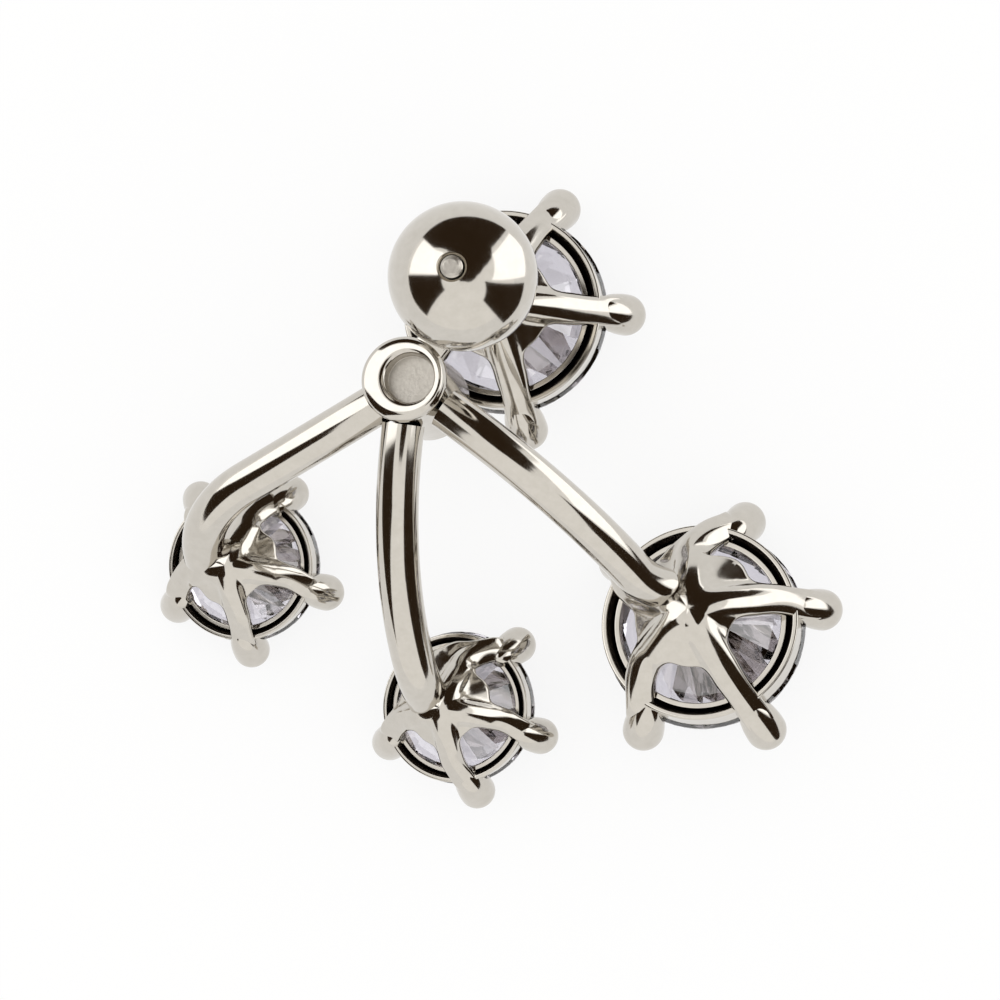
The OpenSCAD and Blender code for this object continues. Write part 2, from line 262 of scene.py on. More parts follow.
def setting_place(name):
    """Diameter of a setting's stone and the place of its ring of claw tips, as a matrix in millimetres."""
    d, axis, point = stone_size(SETTINGS[name]["stone"])
    turn = design_turn()
    lean = turn.col[2].rotation_difference(axis).to_matrix() @ turn
    origin = point - axis * point_z(d)
    return d, Matrix.Translation(origin) @ lean.to_4x4()


def post_place():
    """The stud's setting is square to the post, so its place is the post's own."""
    return setting_place("stud")[1]


# Mesh helpers


def new_object(name, data):
    """A new object in the scene, at the origin."""
    obj = bpy.data.objects.new(name, data)
    bpy.context.scene.collection.objects.link(obj)
    return obj


def mesh_of(name, bm):
    """A mesh of a bmesh, which is freed."""
    mesh = bpy.data.meshes.new(name)
    bm.to_mesh(mesh)
    bm.free()
    return mesh


def finish_mesh(name, bm, place, smooth_below=35):
    """Makes an object of a bmesh in a place's millimetres: merged, facing outwards, with its sharp edges
    kept sharp."""
    bmesh.ops.remove_doubles(bm, verts=bm.verts, dist=0.0005)
    bmesh.ops.recalc_face_normals(bm, faces=bm.faces)
    mesh = mesh_of(name, bm)
    mesh.transform(Matrix.Scale(MM, 4) @ place)
    mesh.shade_smooth()
    mesh.set_sharp_from_angle(angle=math.radians(smooth_below))
    return new_object(name, mesh)


def join_meshes(name, objects):
    """Joins finished objects into one, keeping their materials and sharp edges."""
    with bpy.context.temp_override(active_object=objects[0], selected_editable_objects=objects):
        bpy.ops.object.join()
    objects[0].name = objects[0].data.name = name
    return objects[0]


def turned(profile, around=96, closed=False):
    """A turned solid: profile is a list of (radius, height), taken round Z. A closed one makes a ring."""
    bm = bmesh.new()
    rows = []
    for r, z in profile:
        if r < 1e-6:
            rows.append([bm.verts.new((0, 0, z))])
        else:
            steps = [2 * math.pi * i / around for i in range(around)]
            rows.append([bm.verts.new((r * math.cos(a), r * math.sin(a), z)) for a in steps])
    pairs = list(zip(rows, rows[1:]))
    if closed:
        pairs.append((rows[-1], rows[0]))
    for low, high in pairs:
        for i in range(around):
            j = (i + 1) % around
            corners = [low[i % len(low)], low[j % len(low)], high[j % len(high)], high[i % len(high)]]
            face = list(dict.fromkeys(corners))
            if len(face) > 2:
                bm.faces.new(face)
    return bm


def rounded(corners, closed=False, steps=6, flat=0.02):
    """A profile with rounded corners: each corner is (radius, height, rounding). A point beside each
    rounding keeps the flats between them flat."""
    points = []
    n = len(corners)
    for i, (x, y, fillet) in enumerate(corners):
        here = Vector((x, y))
        if fillet <= 0 or (not closed and i in (0, n - 1)):
            points.append((x, y))
            continue
        before = (Vector(corners[i - 1][:2]) - here).normalized()
        after = (Vector(corners[(i + 1) % n][:2]) - here).normalized()
        half = before.angle(after) / 2
        reach = fillet / math.tan(half)
        a, b = here + before * reach, here + after * reach
        centre = here + (before + after).normalized() * (fillet / math.sin(half))
        points.append(tuple(a + before * flat))
        for k in range(steps + 1):
            spoke = (a - centre).slerp(b - centre, k / steps)
            points.append(tuple(centre + spoke * fillet))
        points.append(tuple(b + after * flat))
    return points


# Node helpers


def add_node(tree, kind, inputs=None, **settings):
    """Adds a node with its settings, and with its inputs set to values or linked from sockets."""
    node = tree.nodes.new(kind)
    for key, value in settings.items():
        setattr(node, key, value)
    for key, value in (inputs or {}).items():
        if isinstance(value, bpy.types.NodeSocket):
            tree.links.new(value, node.inputs[key])
        else:
            node.inputs[key].default_value = value
    return node


def shared(make, *given):
    """Each tree and each material is made once and then shared."""
    if make not in MADE:
        MADE[make] = make(*given)
    return MADE[make]


MADE = {}


def linear(hex_colour):
    """An sRGB hex colour as linear red, green, blue and alpha."""
    values = [int(hex_colour.lstrip("#")[i : i + 2], 16) / 255 for i in (0, 2, 4)]
    return tuple(v / 12.92 if v <= 0.04045 else ((v + 0.055) / 1.055) ** 2.4 for v in values) + (1.0,)


# Geometry Nodes


def new_tree(name, sizes):
    """An empty geometry tree with a geometry input and output, named sizes and a material."""
    tree = bpy.data.node_groups.new(name, "GeometryNodeTree")
    tree.interface.new_socket("Geometry", in_out="INPUT", socket_type="NodeSocketGeometry")
    for label, value in sizes.items():
        kind = "NodeSocketInt" if isinstance(value, int) else "NodeSocketFloat"
        tree.interface.new_socket(label, in_out="INPUT", socket_type=kind).default_value = value
    tree.interface.new_socket("Material", in_out="INPUT", socket_type="NodeSocketMaterial")
    tree.interface.new_socket("Geometry", in_out="OUTPUT", socket_type="NodeSocketGeometry")
    return tree, add_node(tree, "NodeGroupInput").outputs


def end_tree(tree, geometry, material):
    """Makes the instances real and gives them the material."""
    real = add_node(tree, "GeometryNodeRealizeInstances", {"Geometry": geometry}).outputs[0]
    made = add_node(tree, "GeometryNodeSetMaterial", {"Geometry": real, "Material": material}).outputs[0]
    add_node(tree, "NodeGroupOutput", {"Geometry": made})
    return tree


def wire_tree():
    """A round wire swept along a curve, with its ends closed."""
    tree, given = new_tree("Drawn wire", {"Diameter": 1.68 * MM, "Sides": 48})
    half = {0: given["Diameter"], 1: 0.5}
    radius = add_node(tree, "ShaderNodeMath", half, operation="MULTIPLY").outputs[0]
    round_wire = {"Resolution": given["Sides"], "Radius": radius}
    ring = add_node(tree, "GeometryNodeCurvePrimitiveCircle", round_wire)
    swept = add_node(
        tree,
        "GeometryNodeCurveToMesh",
        {"Curve": given["Geometry"], "Profile Curve": ring.outputs[0], "Fill Caps": True},
    ).outputs[0]
    smooth = add_node(tree, "GeometryNodeSetShadeSmooth", {"Geometry": swept}).outputs[0]
    return end_tree(tree, smooth, given["Material"])


# A hair under half of the tip's width, so that the tips stay inside the frame's box
TIP_RADIUS = 0.497


def tips_tree():
    """A drop-shaped claw tip on each point of a mesh, as wide as the point's own tip_d says: half a ball
    that rests on the stone, and a longer half that runs up into the claw, along the point's own aim."""
    tree, given = new_tree("Claw tips", {"Shoulder": 1.5, "Around": 48, "Rings": 32})
    ball = add_node(
        tree,
        "GeometryNodeMeshUVSphere",
        {"Segments": given["Around"], "Rings": given["Rings"], "Radius": TIP_RADIUS},
    ).outputs[0]
    here = add_node(tree, "GeometryNodeInputPosition").outputs[0]
    height = add_node(tree, "ShaderNodeSeparateXYZ", {0: here}).outputs["Z"]
    upper = add_node(tree, "ShaderNodeMath", {0: height, 1: 0.0}, operation="MAXIMUM").outputs[0]
    longer = {0: upper, 1: given["Shoulder"]}
    rise = add_node(tree, "ShaderNodeMath", longer, operation="MULTIPLY").outputs[0]
    lift = add_node(tree, "ShaderNodeCombineXYZ", {"Z": rise}).outputs[0]
    drop = add_node(tree, "GeometryNodeSetPosition", {"Geometry": ball, "Offset": lift}).outputs[0]
    named = "GeometryNodeInputNamedAttribute"
    width = add_node(tree, named, {"Name": "tip_d"}, data_type="FLOAT").outputs[0]
    aim = add_node(tree, named, {"Name": "aim"}, data_type="FLOAT_VECTOR").outputs[0]
    turn = add_node(tree, "FunctionNodeAlignRotationToVector", {"Vector": aim}, axis="Z").outputs[0]
    put = add_node(
        tree,
        "GeometryNodeInstanceOnPoints",
        {"Points": given["Geometry"], "Instance": drop, "Rotation": turn, "Scale": width},
    ).outputs[0]
    smooth = add_node(tree, "GeometryNodeSetShadeSmooth", {"Geometry": put}).outputs[0]
    return end_tree(tree, smooth, given["Material"])


def baked(name, source, tree, inputs):
    """Runs a tree on a source object, keeps the result as a plain mesh and removes the source."""
    modifier = source.modifiers.new(tree.name, "NODES")
    modifier.node_group = tree
    for socket in tree.interface.items_tree:
        if socket.in_out == "INPUT" and socket.name in inputs:
            modifier[socket.identifier] = inputs[socket.name]
    graph = bpy.context.evaluated_depsgraph_get()
    mesh = bpy.data.meshes.new_from_object(source.evaluated_get(graph))
    source.modifiers.remove(modifier)
    bpy.data.objects.remove(source)
    mesh.name = name
    return new_object(name, mesh)


# Materials


def new_material(name):
    """An empty material and its node tree."""
    material = bpy.data.materials.new(name)
    material.use_nodes = True
    material.node_tree.nodes.clear()
    return material, material.node_tree


def end_material(tree, shader):
    """Shows a shader on the surface."""
    add_node(tree, "ShaderNodeOutputMaterial", {"Surface": shader.outputs[0]})


def rhodium_silver(finish):
    """Rhodium-plated sterling silver, cast, tumbled and buffed: a warm mirror that still waves a little,
    with buffed patches of slightly different gloss."""
    material, tree = new_material("Rhodium-plated silver")
    place = add_node(tree, "ShaderNodeTexCoord").outputs["Object"]
    wave = add_node(
        tree, "ShaderNodeTexNoise", {"Vector": place, "Scale": WAVES, "Detail": 2.0, "Roughness": 0.45}
    ).outputs[0]
    buffed = add_node(
        tree, "ShaderNodeTexNoise", {"Vector": place, "Scale": PATCHES, "Detail": 3.0, "Roughness": 0.6}
    ).outputs[0]
    tones = {"Factor": buffed, 6: linear(finish.silver_low), 7: linear(finish.silver_high)}
    tone = add_node(tree, "ShaderNodeMix", tones, data_type="RGBA")
    gloss = add_node(
        tree,
        "ShaderNodeMapRange",
        {"Value": buffed, "To Min": finish.silver_roughness * 0.6, "To Max": finish.silver_roughness * 1.4},
    ).outputs[0]
    waves = {"Height": wave, "Strength": 1.0, "Distance": WAVE_H}
    bump = add_node(tree, "ShaderNodeBump", waves).outputs[0]
    shader = add_node(
        tree,
        "ShaderNodeBsdfPrincipled",
        {"Base Color": tone.outputs[2], "Metallic": 1.0, "Roughness": gloss, "Normal": bump},
    )
    end_material(tree, shader)
    return material


def cast_silver(finish):
    """The same silver as it came from the mould, where the buffing wheel can't reach: matt, grainy and
    greyer."""
    material, tree = new_material("As-cast silver")
    place = add_node(tree, "ShaderNodeTexCoord").outputs["Object"]
    grain = add_node(
        tree, "ShaderNodeTexNoise", {"Vector": place, "Scale": GRAINS, "Detail": 4.0, "Roughness": 0.65}
    ).outputs[0]
    tones = {"Factor": grain, 6: linear(finish.cast_low), 7: linear(finish.cast_high)}
    tone = add_node(tree, "ShaderNodeMix", tones, data_type="RGBA")
    grains = {"Height": grain, "Strength": 1.0, "Distance": GRAIN_H}
    bump = add_node(tree, "ShaderNodeBump", grains).outputs[0]
    shader = add_node(
        tree,
        "ShaderNodeBsdfPrincipled",
        {"Base Color": tone.outputs[2], "Metallic": 1.0, "Roughness": 0.5, "Normal": bump},
    )
    end_material(tree, shader)
    return material


def painted_groove_shade(finish):
    """Painted shade in the gallery ring's groove: silver coloured nearly black, with a speckled sheen, in
    place of the shade there."""
    material, tree = new_material("Groove shade, painted")
    place = add_node(tree, "ShaderNodeTexCoord").outputs["Object"]
    grain = add_node(
        tree, "ShaderNodeTexNoise", {"Vector": place, "Scale": SPECKS, "Detail": 3.0, "Roughness": 0.6}
    ).outputs[0]
    tones = {"Factor": grain, 6: linear(finish.painted_shade_low), 7: linear(finish.painted_shade_high)}
    tone = add_node(tree, "ShaderNodeMix", tones, data_type="RGBA")
    shader = add_node(
        tree,
        "ShaderNodeBsdfPrincipled",
        {"Base Color": tone.outputs[2], "Metallic": 1.0, "Roughness": 0.3},
    )
    end_material(tree, shader)
    return material


def cubic_zirconia(finish):
    """Cut and polished cubic zirconia: water-clear with a breath of lavender, and sharp bright facets from
    its high index."""
    material, tree = new_material("Cubic zirconia")
    place = add_node(tree, "ShaderNodeTexCoord").outputs["Object"]
    laps = {"Vector": place, "Scale": LAPS, "Detail": 1.0}
    polish = add_node(tree, "ShaderNodeTexNoise", laps).outputs[0]
    glosses = {"Value": polish, "To Min": 0.0, "To Max": 0.02}
    gloss = add_node(tree, "ShaderNodeMapRange", glosses).outputs[0]
    shader = add_node(
        tree,
        "ShaderNodeBsdfPrincipled",
        {
            "Base Color": linear(finish.stone),
            "Roughness": gloss,
            "IOR": 2.15,
            "Transmission Weight": 1.0,
        },
    )
    end_material(tree, shader)
    return material


def coat(obj, settings, *makers):
    """Gives an object its materials, in the order of its faces' material numbers."""
    for make in makers:
        obj.data.materials.append(shared(make, settings.earring_finish))


# Sizes and finishes that a user would change


class EarringSizes(bpy.types.PropertyGroup):
    """Sizes of the visible metal that are finer than the frame's."""

    wire_d: bpy.props.FloatProperty(
        name="Wire",
        description="Diameter of the three curved wires",
        default=1.68 * MM,
        unit="LENGTH",
    )
    root_share: bpy.props.FloatProperty(
        name="Claw root",
        description="Half width of a claw where it leaves the pad, as a share of the stone",
        default=0.09,
    )
    neck_share: bpy.props.FloatProperty(
        name="Claw neck",
        description="Half width of a claw beyond its root, as a share of the stone",
        default=0.079,
    )
    end_share: bpy.props.FloatProperty(
        name="Claw end",
        description="Half width of a claw at its tip, as a share of the stone",
        default=0.075,
    )
    roof_slope: bpy.props.FloatProperty(
        name="Roof slope",
        description="Fall of a claw's flat from its ridge, as a share of the way out",
        default=0.18,
    )
    crest: bpy.props.FloatProperty(
        name="Ridge wear",
        description="Rounding of the ridges along the claws",
        default=0.05 * MM,
        unit="LENGTH",
    )
    sheet_share: bpy.props.FloatProperty(
        name="Back thickness",
        description="Thickness of the back, as a share of the stone",
        default=0.055,
    )
    edge_share: bpy.props.FloatProperty(
        name="Edge",
        description="Rounding of the claws' polished edges, as a share of the stone",
        default=0.017,
    )
    large_tip_d: bpy.props.FloatProperty(
        name="Large tips",
        description="Diameter of the claw tips on the large settings",
        default=1.65 * MM,
        unit="LENGTH",
    )
    small_tip_d: bpy.props.FloatProperty(
        name="Small tips",
        description="Diameter of the claw tips on the small settings",
        default=1.45 * MM,
        unit="LENGTH",
    )


class EarringFinish(bpy.types.PropertyGroup):
    """Colours as sRGB hex values, and gloss."""

    silver_low: bpy.props.StringProperty(
        name="Silver, duller", description="sRGB hex colour", default="#C1BCB3"
    )
    silver_high: bpy.props.StringProperty(
        name="Silver, brighter", description="sRGB hex colour", default="#D1CCC4"
    )
    silver_roughness: bpy.props.FloatProperty(
        name="Silver roughness", description="Mean roughness", default=0.1
    )
    cast_low: bpy.props.StringProperty(
        name="Cast silver, darker", description="sRGB hex colour", default="#BBB5AC"
    )
    cast_high: bpy.props.StringProperty(
        name="Cast silver, lighter", description="sRGB hex colour", default="#E2DDD4"
    )
    # Colours of the painted shade in the gallery ring's groove
    painted_shade_low: bpy.props.StringProperty(
        name="Painted shade, darker", description="sRGB hex colour", default="#1A1715"
    )
    painted_shade_high: bpy.props.StringProperty(
        name="Painted shade, lighter", description="sRGB hex colour", default="#4A4038"
    )
    stone: bpy.props.StringProperty(
        name="Stone", description="sRGB hex colour", default="#E9E6EE"
    )
    floor: bpy.props.StringProperty(
        name="Floor", description="sRGB hex colour", default="#FFFFFF"
    )


# The back of a setting


def ease(t):
    """A soft step from 0 to 1."""
    return t * t * (3 - 2 * t)


def ridge_line(d):
    """The outer line of a claw, from the pad's middle to the tip: a dome, then a long arc. Gives the
    distance from the axis, the height, the dive and the length run so far."""
    start = Vector((ARC_START * d, pad_z(d) - ARC_DROP * d))
    end = Vector((tip_reach(d), 0))
    chord, bow = (end - start).length, CLAW_BOW * d
    bend_r = (chord * chord / 4 + bow * bow) / (2 * bow)
    half = math.asin(chord / 2 / bend_r)
    slope = math.atan2(end.y - start.y, end.x - start.x)
    outward = Vector((-math.sin(slope), math.cos(slope)))
    centre = (start + end) / 2 - outward * (bend_r - bow)
    arc = []
    for k in range(ARC_STEPS + 1):
        t = k / ARC_STEPS
        a = slope + math.pi / 2 + half * (1 - 2 * t)
        lift = (CLAW_LIFT + TIP_LIFT * t**3) * d
        arc.append(centre + Vector((math.cos(a), math.sin(a))) * (bend_r + lift))
    first, dive = arc[0], -(slope + half)
    dome_r = first.x / math.sin(dive)
    dome = []
    for k in range(DOME_STEPS):
        a = dive * k / DOME_STEPS
        dome.append(Vector((dome_r * math.sin(a), first.y + dome_r * (math.cos(a) - math.cos(dive)))))
    line = np.array([tuple(p) for p in dome + arc])
    dives = np.arctan2(-np.gradient(line[:, 1]), np.gradient(line[:, 0]))
    dives[0] = 0
    run = np.concatenate(([0.0], np.cumsum(np.hypot(*np.diff(line, axis=0).T))))
    return line[:, 0], line[:, 1], dives, run


def window_edge(d, half_gap, pad_r, sizes, line):
    """The edge of a window from the middle of its arch, along the claw's side, to the tip, with the claw
    along X. Gives points and the directions that point into the metal."""
    root, neck, end_width = sizes.root_share * d, sizes.neck_share * d, sizes.end_share * d
    a = Vector((pad_r * math.cos(half_gap), pad_r * math.sin(half_gap)))
    c = Vector((a.x + ARCH_RUN * d, root))
    reach = (c - a).length * ARCH_ROUND
    b1 = a + Vector((math.sin(half_gap), -math.cos(half_gap))) * reach * ARCH_TOP_ROUND
    b2 = c - Vector((1, 0)) * reach
    points = []
    for k in range(ARCH_STEPS):
        t = k / ARCH_STEPS
        points.append((1 - t) ** 3 * a + 3 * t * (1 - t) ** 2 * b1 + 3 * t * t * (1 - t) * b2 + t**3 * c)
    begin, end = float(np.interp(c.x, line[0], line[3])), line[3][-1] - 0.01 * d
    for k in range(CLAW_STEPS + 1):
        t = k / CLAW_STEPS
        x = float(np.interp(begin + (end - begin) * t, line[3], line[0]))
        # It slims over its first third and widens over its last half
        slim, wide = ease(min(1.0, t * 3)), ease(max(0.0, t * 2 - 1))
        points.append(Vector((x, root + (neck - root) * slim + (end_width - neck) * wide)))
    inward = []
    for k, p in enumerate(points):
        q0, q1 = points[max(k - 1, 0)], points[min(k + 1, len(points) - 1)]
        along = (q1 - q0).normalized()
        side = Vector((along.y, -along.x))
        inward.append(side if side.dot(Vector((p.x * 0.9, 0)) - p) > 0 else -side)
    inward[0] = -a.normalized()
    return points, inward


def bent_claw(p, d, bend):
    """Bends a claw that lies along X sideways beyond the pad, so that its tip comes round by an angle."""
    start, end = BEND_START * d, tip_reach(d)
    t = max(0.0, min(1.0, (p.x - start) / (end - start)))
    if t <= 0:
        return p
    angle = bend * ease(t)
    turning = bend * 6 * t * (1 - t) / (end - start) * p.x
    out = Vector((math.cos(angle), math.sin(angle)))
    along = (out + Vector((-out.y, out.x)) * turning).normalized()
    return out * p.x + Vector((-along.y, along.x)) * p.y


def claw_back(d, claws, sizes):
    """The back of a setting: a dome with an arched window between each two claws, and claws that stand out
    of it as roofs with a worn ridge, out to their tips."""
    line = ridge_line(d)
    sheet, edge, crest = sizes.sheet_share * d, sizes.edge_share * d, sizes.crest / MM
    dome_r = DOME_SHARE * d
    blend = WEB_BLEND * d

    def at(r, row):
        """A row of the claws' outer line at a distance from the axis."""
        return float(np.interp(r, line[0], line[row]))

    def depth(p):
        """How far the metal lies inside the claws' outer line at a spot."""
        past = abs(p.y) - sizes.neck_share * d + edge
        shoulder = (past + math.hypot(past, edge)) / 2 - edge * edge / (4 * sizes.neck_share * d)
        roof = sizes.roof_slope * (math.hypot(p.y, crest) - crest) + FLANK_SLOPE * max(0.0, shoulder)
        r = min(p.length, DOME_SEEN * dome_r)
        dome_z = pad_z(d) - dome_r + math.sqrt(dome_r * dome_r - r * r) - DOME_END_SLOPE * (p.length - r)
        skirt_z = pad_z(d) - SKIRT_DROP * PAD_H - 2 * PAVILION_SHARE * (p.length - SKIRT_START * d)
        web_z = (dome_z + skirt_z + math.hypot(dome_z - skirt_z, blend)) / 2
        web = max(0.0, at(p.length, 1) - web_z) * math.cos(at(p.length, 2))
        return (roof + web - math.hypot(roof - web, blend)) / 2

    bm = bmesh.new()
    n = len(claws)
    spread = [(u / ACROSS) ** RIDGE_CROWDING for u in range(ACROSS + 1)]

    def quads(grid):
        """Joins rows of vertices by faces, and leaves out those with no area."""
        for low, high in zip(grid, grid[1:]):
            for i in range(len(low) - 1):
                face = [low[i], low[i + 1], high[i + 1], high[i]]
                if len({tuple(round(c, 5) for c in v.co) for v in face}) > 2:
                    bm.faces.new(face)

    for i, (root, tip, window) in enumerate(claws):
        gaps = [math.radians((claws[(i + side) % n][0] - root) * side % 360) for side in (-1, 1)]
        radii = [claws[i - 1][2] * d, window * d]
        # Both halves of a claw share the points along its ridge, so they close into one shell
        core = window_edge(d, sum(gaps) / 4, sum(radii) / 2, sizes, line)[0]
        turn, bend = Matrix.Rotation(math.radians(root), 2), math.radians(tip - root)
        for side, gap, pad_r in zip((-1, 1), gaps, radii):
            half_gap = gap / 2
            points, inward = window_edge(d, half_gap, pad_r, sizes, line)

            def spot(p, extra=0.0):
                """Sets a vertex under the outer line. The bend fades towards the next claw's half."""
                r, deep = p.length, depth(p) + extra
                dive = at(r, 2)
                q = p - p.normalized() * deep * math.sin(dive)
                off = max(0.0, 2 * math.atan2(q.y, q.x) / half_gap - 1) if q.x > 0 else 1.0
                hold = max(0.0, 1 - ease(off))
                q = turn @ bent_claw(Vector((q.x, q.y * side)), d, bend * hold)
                return bm.verts.new((q.x, q.y, at(r, 1) - deep * math.cos(dive)))

            inner = [p + v * edge for p, v in zip(points, inward)]
            x0, x1 = PAD_ROWS_END * core[0].length, points[-1].x
            starts = [Vector((x0 * k / PAD_ROWS, 0)) for k in range(PAD_ROWS)]
            ends = [inner[0] * (k / PAD_ROWS) for k in range(PAD_ROWS)]
            for k, p in enumerate(inner):
                t = (core[k].x - core[0].x) / (x1 - core[0].x)
                starts.append(Vector((x0 + (x1 - x0) * t, 0)))
                ends.append(p)
            top = [[spot(s.lerp(e, u)) for u in spread] for s, e in zip(starts, ends)]
            quads(top)
            walls = []
            for p, v in zip(points, inward):
                column = []
                for k in range(EDGE_ROWS + 1):
                    turn_k = math.pi / 2 * k / EDGE_ROWS
                    q = p + v * edge * (1 - math.sin(turn_k))
                    column.append(spot(q, edge * (1 - math.cos(turn_k))))
                column.append(spot(p, sheet))
                walls.append(column)
            quads(walls)
            rims = [points[0] * (k / PAD_ROWS) for k in range(PAD_ROWS)] + points
            under = [[spot(s.lerp(e, u), sheet) for u in spread] for s, e in zip(starts, rims)]
            quads(under)
            bm.faces.new(top[-1] + walls[-1][1:-1] + under[-1][::-1])
    return bm


def gallery_ring(d):
    """The hoop round the stone: a narrow polished back edge, a groove inside it with painted shade, nearly
    black, and a small lip on the stone."""
    edge = RING_EDGE * d

    def over_stone(share, gap):
        """The height of a gap over the stone's pavilion, at a radius."""
        return point_z(d) - 2 * PAVILION_SHARE * share * d + gap

    line = ridge_line(d)
    back = min(BACK_TOP * d, float(np.interp(RING_OUT * d, line[0], line[1])) - BACK_DROP * d)
    groove = max(back - GROOVE_DROP * d, over_stone(GROOVE_STONE, CLOSE_GAP))
    lip = max(back - LIP_DROP * d, over_stone(LIP_STONE, STONE_GAP))
    corners = [
        (RING_OUT * d, over_stone(RING_OUT, STONE_GAP), 0),
        (RING_OUT * d, back, edge),
        (RING_BACK * d, back, edge),
        (RING_GROOVE * d, groove, 0),
        (LIP_OUT * d, lip, edge * 0.3),
        (LIP_IN * d, lip, edge * 0.6),
        (RING_IN * d, over_stone(RING_IN, CLOSE_GAP), 0),
    ]
    bm = turned(rounded(corners, closed=True), around=128, closed=True)
    # The groove's faces get the second material, nearly black painted shade
    for face in bm.faces:
        middle = face.calc_center_median()
        if PAINTED_SHADE_IN * d < math.hypot(middle.x, middle.y) < RING_BACK * d and middle.z > groove:
            face.material_index = 1
    return bm


def make_setting(name, settings):
    """One whole setting: its back with the claws, its gallery ring and its claw tips, as one piece."""
    row = SETTINGS[name]
    d, place = setting_place(name)
    sizes = settings.earring_sizes
    back = finish_mesh(name + "_back", claw_back(d, row["claws"], sizes), place)
    ring = finish_mesh(name + "_ring", gallery_ring(d), place)
    coat(back, settings, rhodium_silver)
    # The ring's second material is painted shade, nearly black, in its groove
    coat(ring, settings, rhodium_silver, painted_groove_shade)
    tip_d = sizes.large_tip_d if d > LARGE_FROM_D else sizes.small_tip_d
    mesh = bpy.data.meshes.new(name + "_tips")
    ways = [Matrix.Rotation(math.radians(tip), 3, "Z") for _, tip, _ in row["claws"]]
    spots = [way @ Vector((tip_reach(d), 0, 0)) for way in ways]
    mesh.from_pydata([(place @ p) * MM for p in spots], [], [])
    width = mesh.attributes.new("tip_d", "FLOAT", "POINT")
    width.data.foreach_set("value", [tip_d] * len(spots))
    aim = mesh.attributes.new("aim", "FLOAT_VECTOR", "POINT")
    dive = ridge_line(d)[2][-1]
    turn = place.to_3x3()
    aims = [turn @ (Vector((0, 0, math.sin(dive))) - p.normalized() * math.cos(dive)) for p in spots]
    aim.data.foreach_set("vector", [c for v in aims for c in v])
    points = new_object(name + "_tip_points", mesh)
    silver = shared(rhodium_silver, settings.earring_finish)
    tips = baked(name + "_tips", points, shared(tips_tree), {"Material": silver})
    return join_meshes(name + "_mount", [back, ring, tips])


# The jacket's wires, hub and ring


def hub_place():
    """The hub's rim: the recess is drilled into it, a little off its middle."""
    mount = next(m for m in frame["record"]["mounts"] if m["name"] == "hub_recess")
    axis = Vector(mount["axis"]).normalized()
    turn = design_turn()
    lean = turn.col[2].rotation_difference(axis).to_matrix() @ turn
    mouth = Vector(mount["pos_m"]) / MM + axis * RECESS_H / 2
    centre = mouth - lean.col[0] * RECESS_OFF
    return Matrix.Translation(centre) @ lean.to_4x4()


def arc_points(p, q, t, steps=28):
    """Points on the arc from p to q that arrives at q along t."""
    chord = q - p
    half = math.acos(max(-1, min(1, chord.normalized().dot(t))))
    radius = chord.length / (2 * math.sin(half))
    inward = (-chord + t * chord.dot(t)).normalized()
    centre = q + inward * radius
    x, z = (p - centre).normalized(), t.cross(inward)
    y = z.cross(x)
    turns = [2 * half * k / steps for k in range(steps + 1)]
    return [centre + (x * math.cos(a) + y * math.sin(a)) * radius for a in turns]


def wire_route(name):
    """A wire's middle line: a long arc out of the hub and a tighter one down on to its setting's pad."""
    row = LANDINGS[name]
    d, place = setting_place(name)
    turn = place.to_3x3()
    hub = hub_place()
    start = hub @ Vector((0, 0, -WIRE_DROP))
    end = place @ Vector((*row["at"], pad_z(d) - LANDING_SINK))
    end_t, bend_t = turn @ heading(*row["end"]), turn @ heading(*row["bend"])
    bend = bend_t.angle(end_t)
    bend_at = end - (bend_t + end_t) * row["radius"] * math.tan(bend / 2)
    route = arc_points(start, bend_at, bend_t) + arc_points(bend_at, end, end_t)[1:]
    route.append(end + end_t * END_SINK)
    inside = hub.inverted()
    return [p for p in route if math.hypot(*(inside @ p).xy) > WIRE_START]


def make_wire(name, settings):
    """One of the three curved wires, drawn along its route."""
    points = wire_route(name)
    curve = bpy.data.curves.new(name + "_route", "CURVE")
    curve.dimensions = "3D"
    spline = curve.splines.new("POLY")
    spline.points.add(len(points) - 1)
    for spot, p in zip(spline.points, points):
        spot.co = (*(p * MM), 1.0)
    source = new_object(name + "_route", curve)
    silver = shared(rhodium_silver, settings.earring_finish)
    inputs = {"Diameter": settings.earring_sizes.wire_d, "Material": silver}
    return baked(name + "_wire", source, shared(wire_tree), inputs)


def make_hub(settings):
    """The turned hub: a polished tube with a rounded rim, and a matt blind recess drilled a little off its
    middle."""
    r, hole_r = HUB_D / 2, RECESS_D / 2
    corners = [
        (0, -HUB_H, 0),
        (r - COLLAR_OUT, -HUB_H, 0.15),
        (r - COLLAR_OUT, -COLLAR_TAPER_H, 0.04),
        (r, -COLLAR_H, 0.04),
        (r, 0, RIM_ROUND),
        (hole_r, 0, MOUTH_ROUND),
        (hole_r, -RECESS_SEEN_H, 0.05),
        (0, -RECESS_SEEN_H, 0),
    ]
    bm = turned(rounded(corners, steps=7), around=128)
    for face in bm.faces:
        middle = face.calc_center_median()
        at_end = abs(middle.z + RECESS_SEEN_H) < 0.03
        face.material_index = int(at_end and math.hypot(middle.x, middle.y) < hole_r)
    for v in bm.verts:
        reach = math.hypot(v.co.x, v.co.y)
        if v.co.z > -HUB_H / 2 and reach < r - CENTRED_WALL:
            v.co.x += RECESS_OFF * min(1.0, (r - reach) / (r - hole_r))
    hub = finish_mesh("hub", bm, hub_place())
    coat(hub, settings, rhodium_silver, cast_silver)
    return hub


